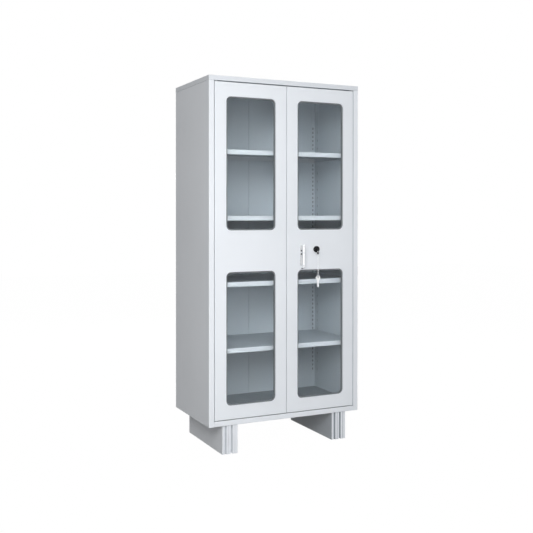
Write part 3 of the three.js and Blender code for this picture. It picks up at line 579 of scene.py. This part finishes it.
def curve_mesh(name, dimensions, loops, bevel, **values):
    """The mesh of a curve along closed loops of points, with a round bevel."""
    data = bpy.data.curves.new(name, "CURVE")
    data.dimensions = dimensions
    data.bevel_depth = bevel * MM
    data.bevel_resolution = BEVEL_STEPS
    for key, value in values.items():
        setattr(data, key, value)
    for loop in loops:
        spline = data.splines.new("POLY")
        spline.points.add(len(loop) - 1)
        spline.use_cyclic_u = True
        for point, place in zip(spline.points, loop):
            point.co = (*place, 1)
    holder = add_object(name, data)
    depsgraph = bpy.context.evaluated_depsgraph_get()
    mesh = bpy.data.meshes.new_from_object(holder.evaluated_get(depsgraph))
    bpy.data.objects.remove(holder)
    mesh.materials.clear()
    return mesh


def plate(name, outlines, thickness, edge, view, place):
    """A flat plate with softened edges from closed outlines, the inner ones being its holes."""
    loops = [[(u * MM, v * MM, 0) for u, v in outline] for outline in outlines]
    mesh = curve_mesh(
        name, "2D", loops, edge,
        fill_mode="BOTH",
        extrude=(thickness / 2 - edge) * MM,
        offset=-edge * MM,
    )
    mesh.transform(Matrix.Translation(place) @ view)
    return mesh


def arc(centre, radius, start, end, steps):
    """Points along an arc, from one angle to the other in degrees."""
    points = []
    for k in range(steps + 1):
        angle = math.radians(start + (end - start) * k / steps)
        points.append((centre[0] + radius * math.cos(angle), centre[1] + radius * math.sin(angle)))
    return points


def disc(centre, radius):
    return arc(centre, radius, 0, 360, SMOOTH_STEPS)[:-1]


# Handle's backplate and its two screws
PLATE_HALF = 7.5
PLATE_TOP = 38
PLATE_BOTTOM = -72
PLATE_RADIUS = 4
PLATE_THICKNESS = 2.5
PLATE_EDGE = 0.7
PLATE_BACK = -0.3
SCREW_AWAY = 9.1
SCREW_PROFILE = [(4.3, -2.8), (4.2, -3.6), (3.4, -4.4), (2.1, -4.5), (1.9, -3.4), (0.05, -3.4)]


def handle_plate():
    name = "handle_plate"
    inner = PLATE_HALF - PLATE_RADIUS
    top = PLATE_TOP - PLATE_RADIUS
    bottom = PLATE_BOTTOM + PLATE_RADIUS
    outline = []
    for centre, start in (
        ((inner, bottom), -90), ((inner, top), 0), ((-inner, top), 90), ((-inner, bottom), 180),
    ):
        outline += arc(centre, PLATE_RADIUS, start, start + 90, ROUND_STEPS)
    middle = HANDLE + Vector((0, PLATE_BACK - PLATE_THICKNESS / 2, 0)) * MM
    mesh = plate(name, [outline], PLATE_THICKNESS, PLATE_EDGE, FRONT_VIEW, middle)
    add_piece(name, mesh, [SATIN], "right_leaf", "handle_chrome", "handle_backplate")
    for name, height in (("upper_plate_screw", SCREW_AWAY), ("lower_plate_screw", -SCREW_AWAY)):
        skin = Skin()
        skin.add(turned_rings(SCREW_PROFILE, HANDLE + Vector((0, 0, height)) * MM))
        add_piece(name, skin.mesh(name), [BLACK], "right_leaf", "lock_black")


# Lock: a turned black bezel with a groove in its face
LOCK_PROFILE = [
    (8.3, 14), (11, 14), (11, -0.3), (17.3, -0.3), (17.5, -0.8), (17.5, -6.6), (17.2, -7.8),
    (16.4, -8.7), (15.2, -9), (13.2, -9), (12.8, -8.5), (10.2, -8.5), (9.8, -9), (8.5, -9),
    (8.3, -8.8),
]


def lock_bezel():
    name = "lock_bezel"
    skin = Skin()
    skin.add(turned_rings(LOCK_PROFILE, LOCK), closed=True)
    add_piece(name, skin.mesh(name), [BLACK], "right_leaf", "lock_black", "lock_body")


# Key in the lock: a ring for its bow and a blade, both in the plane across the door
BOW = (-20, -5)
BOW_RADIUS = 9
BOW_HOLE = 5.5
KEY_THICKNESS = 2
KEY_EDGE = 0.35
BLADE_HALF = 3.5
BLADE_FRONT = -13
BLADE_BACK = 7


def turned_key():
    name = "key_in_lock"
    bow = [disc(BOW, BOW_RADIUS), disc(BOW, BOW_HOLE)]
    blade = [[
        (BLADE_FRONT, -BLADE_HALF), (BLADE_BACK, -BLADE_HALF),
        (BLADE_BACK, BLADE_HALF), (BLADE_FRONT, BLADE_HALF),
    ]]
    skin = Skin()
    for outlines in (bow, blade):
        part = plate(name, outlines, KEY_THICKNESS, KEY_EDGE, SIDE_VIEW, LOCK)
        start = len(skin.points)
        skin.points += [corner.co.copy() for corner in part.vertices]
        skin.faces += [tuple(start + k for k in face.vertices) for face in part.polygons]
    skin.finishes = [0] * len(skin.faces)
    add_piece(name, skin.mesh(name), [GUNMETAL], "key_set", "key_nickel", "key")


# Spare key, which hangs below the bow of the other
HANGING = LOCK + Vector((0, BOW[0], 0)) * MM
SPARE_TOP = -144
SPARE_BOW = 13.5
SPARE_HOLE = 4.8
SPARE_RIM = 3
SPARE_HALF = 5.5
SPARE_LENGTH = 63
SPARE_TIP = 2.5
NOTCH_STEP = 6
NOTCH = 1.0


def spare_key():
    name = "spare_key_blank"
    middle = SPARE_TOP - SPARE_BOW
    end = SPARE_TOP - SPARE_LENGTH
    throat = math.degrees(math.asin(SPARE_HALF / SPARE_BOW))
    outline = arc((0, middle), SPARE_BOW, throat - 90, 270 - throat, SMOOTH_STEPS)
    outline += [
        (-SPARE_HALF, end + SPARE_TIP), (SPARE_TIP - SPARE_HALF, end),
        (SPARE_HALF - SPARE_TIP, end), (SPARE_HALF, end + SPARE_TIP),
    ]
    height = end + SPARE_TIP + NOTCH_STEP
    while height < middle - SPARE_BOW - NOTCH_STEP:
        outline += [(SPARE_HALF, height - NOTCH_STEP / 2), (SPARE_HALF - NOTCH, height)]
        height += NOTCH_STEP
    hole = disc((0, SPARE_TOP - SPARE_RIM - SPARE_HOLE), SPARE_HOLE)
    mesh = plate(name, [outline, hole], KEY_THICKNESS, KEY_EDGE, FRONT_VIEW, HANGING)
    add_piece(name, mesh, [NICKEL], "spare_key_set", "key_nickel", "spare_key")


# Loop of wire between the two bows, with a black sleeve under the upper one
LOOP_TOP = -12.25
LOOP_FOOT = SPARE_TOP - SPARE_RIM / 2
LOOP_HALF = 3.6
LOOP_WIRE = 0.7
STRAND_STEPS = 16
ARC_STEPS = 10
SLEEVE_PROFILE = [
    (0.5, -27.5), (3.4, -27.5), (4.5, -26.5), (4.7, -21), (4.5, -16), (3.4, -15), (0.5, -15),
]


def strand(way, step):
    """A point of one of the two strands, which make a quarter turn on their way down."""
    share = step / STRAND_STEPS
    turn = math.pi / 2 * share
    across = way * LOOP_HALF
    height = LOOP_TOP + share * (LOOP_FOOT - LOOP_TOP)
    return (across * math.cos(turn), across * math.sin(turn), height)


def wire_loop():
    """The loop lies across the key's bow at its top and across the spare key's bow at its foot."""
    name = "wire_loop"
    points = [(u, 0, v) for u, v in arc((0, LOOP_TOP), LOOP_HALF, 0, 180, ARC_STEPS)]
    points += [strand(-1, k) for k in range(1, STRAND_STEPS)]
    points += [(0, u, v) for u, v in arc((0, LOOP_FOOT), LOOP_HALF, 180, 360, ARC_STEPS)]
    points += [strand(1, k) for k in range(STRAND_STEPS - 1, 0, -1)]
    loop = [HANGING + Vector(point) * MM for point in points]
    mesh = curve_mesh(name, "3D", [loop], LOOP_WIRE)
    add_piece(name, mesh, [NICKEL], "spare_key_set", "key_nickel", "key_loop")


def loop_sleeve():
    name = "loop_sleeve"
    skin = Skin()
    skin.add(turned_rings(SLEEVE_PROFILE, HANGING, OVAL_STEPS, "Z"))
    add_piece(name, skin.mesh(name), [BLACK], "spare_key_set", "lock_black")


# Rivets through the flanges where the two back panels meet
RIVET_Y = 0.251
RIVET_HEIGHTS = (0.30, 0.62, 0.94, 1.26, 1.58, 1.88)
RIVET_PROFILE = [
    (0.3, -3.4), (1.8, -3.2), (3.2, -2.5), (3.8, -1.5), (1.5, -1.5),
    (1.5, 1.5), (3.8, 1.5), (3.2, 2.5), (1.8, 3.2), (0.3, 3.4),
]


def rivets():
    for number, height in enumerate(RIVET_HEIGHTS, 1):
        name = f"back_rivet_{number}"
        place = Vector((0, RIVET_Y, height))
        skin = Skin()
        skin.add(turned_rings(RIVET_PROFILE, place, OVAL_STEPS, "X"))
        add_piece(name, skin.mesh(name), [SHADED_INSIDE], "carcass", "inside_paint")


# Dark sheets in the gap behind the uprights, which show through their slots: painted shade for the
# hollow behind each slot.
STRIP_HALF = 6
STRIP_GAP = 0.1
STRIP_THICKNESS = 0.1
STRIP_END = 12
BACK_SLOTS_IN = 15
REAR_SLOTS_IN = 30
FRONT_SLOTS_IN = 17


def node_box(name):
    """The range of x, of y and of z that a CAD node takes up."""
    node = frame["nodes"][name]
    corners = [node.matrix_world @ Vector(corner) for corner in node.bound_box]
    return [(min(c[k] for c in corners), max(c[k] for c in corners)) for k in range(3)]


def strip(name, x, y, z, finish=SLOT_SHADE, slot="gasket_rubber"):
    ring = [(x[0], y[0]), (x[1], y[0]), (x[1], y[1]), (x[0], y[1])]
    skin = Skin()
    skin.add([[Vector((*corner, height)) for corner in ring] for height in z])
    add_piece(name, skin.mesh(name), [finish], "carcass", slot)


def band(middle):
    half = STRIP_HALF * MM
    return (middle - half, middle + half)


def slot_shade_strips():
    bpy.context.view_layer.update()
    near = STRIP_GAP * MM
    far = (STRIP_GAP + STRIP_THICKNESS) * MM
    for side, way in zip(SIDES, (-1, 1)):
        for end in ENDS:
            x, y, z = node_box(f"{side}_{end}_upright")
            wall = x[1] if way > 0 else x[0]
            tall = (z[0] + STRIP_END * MM, z[1] - STRIP_END * MM)
            thick = tuple(sorted((wall + way * near, wall + way * far)))
            middle = y[0] + FRONT_SLOTS_IN * MM if end == "front" else y[1] - REAR_SLOTS_IN * MM
            strip(f"{side}_{end}_side_shade_strip", thick, band(middle), tall)
            if end == "rear":
                across = band(wall - way * BACK_SLOTS_IN * MM)
                strip(f"{side}_back_shade_strip", across, (y[1] + near, y[1] + far), tall)


# Painted seal between the flanges where the two back panels meet
SEAL_HALF = 0.1
SEAL_FLUSH = 0.3
SEAL_INSET = 3


def seam_seal():
    _, y, z = node_box("left_back_panel")
    half = SEAL_HALF * MM
    inset = SEAL_INSET * MM
    deep = (y[0] + SEAL_FLUSH * MM, y[1] - inset)
    tall = (z[0] + inset, z[1] - inset)
    strip("back_seam_seal", (-half, half), deep, tall, SHADED_INSIDE, "inside_paint")


# Background: white where it is seen, and as light soft from the front and above
SOFT_FROM = (0.2, -0.75, 0.63)
SOFT_EDGES = (-0.3, 0.8)
SOFT_FRONT = 0.40
SOFT_BACK = 0.05
SOFT_COLOUR = (0.97, 0.985, 1.0, 1)
WHITE = (1, 1, 1, 1)
NO_SCATTER = 0.5


def math_node(tree, operation, first, second):
    """A node that works on two sockets, or on a socket and a number."""
    made = tree.nodes.new("ShaderNodeMath")
    made.operation = operation
    tree.links.new(first, made.inputs[0])
    if isinstance(second, float):
        made.inputs[1].default_value = second
    else:
        tree.links.new(second, made.inputs[1])
    return made.outputs[0]


def seen_directly(tree):
    """1 where the eye sees a thing, also mirrored or through glass, and 0 where it only lights."""
    rays = tree.nodes.new("ShaderNodeLightPath").outputs
    mirrored = math_node(tree, "MAXIMUM", rays["Is Camera Ray"], rays["Is Glossy Ray"])
    through = math_node(tree, "MAXIMUM", mirrored, rays["Is Transmission Ray"])
    unscattered = math_node(tree, "LESS_THAN", rays["Diffuse Depth"], NO_SCATTER)
    return math_node(tree, "MULTIPLY", through, unscattered)


def background():
    world = bpy.data.worlds.new("studio")
    bpy.context.scene.world = world
    world.use_nodes = True
    tree = world.node_tree
    tree.nodes.clear()
    place = tree.nodes.new("ShaderNodeTexCoord")
    towards = tree.nodes.new("ShaderNodeVectorMath")
    towards.operation = "DOT_PRODUCT"
    tree.links.new(place.outputs["Generated"], towards.inputs[0])
    towards.inputs[1].default_value = SOFT_FROM
    fade = tree.nodes.new("ShaderNodeMapRange")
    fade.inputs["From Min"].default_value = SOFT_EDGES[0]
    fade.inputs["From Max"].default_value = SOFT_EDGES[1]
    fade.inputs["To Min"].default_value = SOFT_BACK
    fade.inputs["To Max"].default_value = SOFT_FRONT
    tree.links.new(towards.outputs["Value"], fade.inputs["Value"])
    soft = tree.nodes.new("ShaderNodeBackground")
    soft.inputs["Color"].default_value = SOFT_COLOUR
    tree.links.new(fade.outputs["Result"], soft.inputs["Strength"])
    white = tree.nodes.new("ShaderNodeBackground")
    white.inputs["Color"].default_value = WHITE
    mix = tree.nodes.new("ShaderNodeMixShader")
    tree.links.new(seen_directly(tree), mix.inputs[0])
    tree.links.new(soft.outputs[0], mix.inputs[1])
    tree.links.new(white.outputs[0], mix.inputs[2])
    end = tree.nodes.new("ShaderNodeOutputWorld")
    tree.links.new(mix.outputs[0], end.inputs["Surface"])


# Floor: near white where it is seen, and a dull grey that takes the object's shadow
FLOOR_HALF = 12
FLOOR_WHITE = 0.97
FLOOR_GLOW = 1.025
FLOOR_COLOUR = (0.2, 0.2, 0.2, 1)
FLOOR_ROUGHNESS = 0.9
FLOOR_SPECULAR = 0.1


def floor():
    shader = Shader("floor")
    shader.set(
        Base_Color=FLOOR_COLOUR,
        Roughness=FLOOR_ROUGHNESS,
        Specular_IOR_Level=FLOOR_SPECULAR,
    )
    glow = shader.node("ShaderNodeEmission")
    glow.inputs["Strength"].default_value = FLOOR_GLOW
    white = math_node(shader.tree, "MULTIPLY", seen_directly(shader.tree), FLOOR_WHITE)
    shader.swap_surface(white, glow.outputs["Emission"])
    mesh = bpy.data.meshes.new("floor")
    half = FLOOR_HALF
    corners = [(-half, -half, 0), (half, -half, 0), (half, half, 0), (-half, half, 0)]
    mesh.from_pydata(corners, [], [(0, 1, 2, 3)])
    mesh.materials.append(shader.material)
    plane = add_object("floor", mesh)


# Lamps: name, place, target, size, watts and colour. The back and side lamps are for other views
PLAIN = (1, 1, 1)
COOL = (0.95, 0.975, 1.0)
LAMPS = (
    ("softbox", (0.0, -5.0, 2.9), (0, -0.22, 1.1), (2.4, 1.6), 62, COOL),
    ("key_light", (-2.75, -3.7, 3.0), (0, -0.22, 1.1), (2.0, 2.0), 93, PLAIN),
    ("near_light", (-1.0, -1.9, 1.15), (-0.4, -0.22, 0.95), (0.9, 0.9), 9.0, PLAIN),
    ("low_light", (-0.6, -1.2, 0.1), (-0.35, -0.22, 0.04), (0.45, 0.15), 1.0, PLAIN),
    ("back_light", (0.9, 4.6, 2.4), (0, 0.26, 1.0), (1.6, 2.0), 120, PLAIN),
    ("side_light", (4.6, 0.7, 2.2), (0.45, 0.05, 1.0), (3.0, 2.0), 72, PLAIN),
)


def lamp(name, place, target, size, power, colour):
    data = bpy.data.lights.new(name, "AREA")
    data.shape = "RECTANGLE"
    data.size, data.size_y = size
    data.energy = power
    data.color = colour
    made = add_object(name, data)
    made.location = place
    beam = Vector(target) - Vector(place)
    made.rotation_euler = beam.to_track_quat("-Z", "Y").to_euler()


make_camera()
dress_nodes()
lever()
handle_plate()
lock_bezel()
turned_key()
spare_key()
wire_loop()
loop_sleeve()
rivets()
slot_shade_strips()
seam_seal()
background()
floor()
for settings in LAMPS:
    lamp(*settings)
bpy.context.scene.view_settings.view_transform = "Standard"
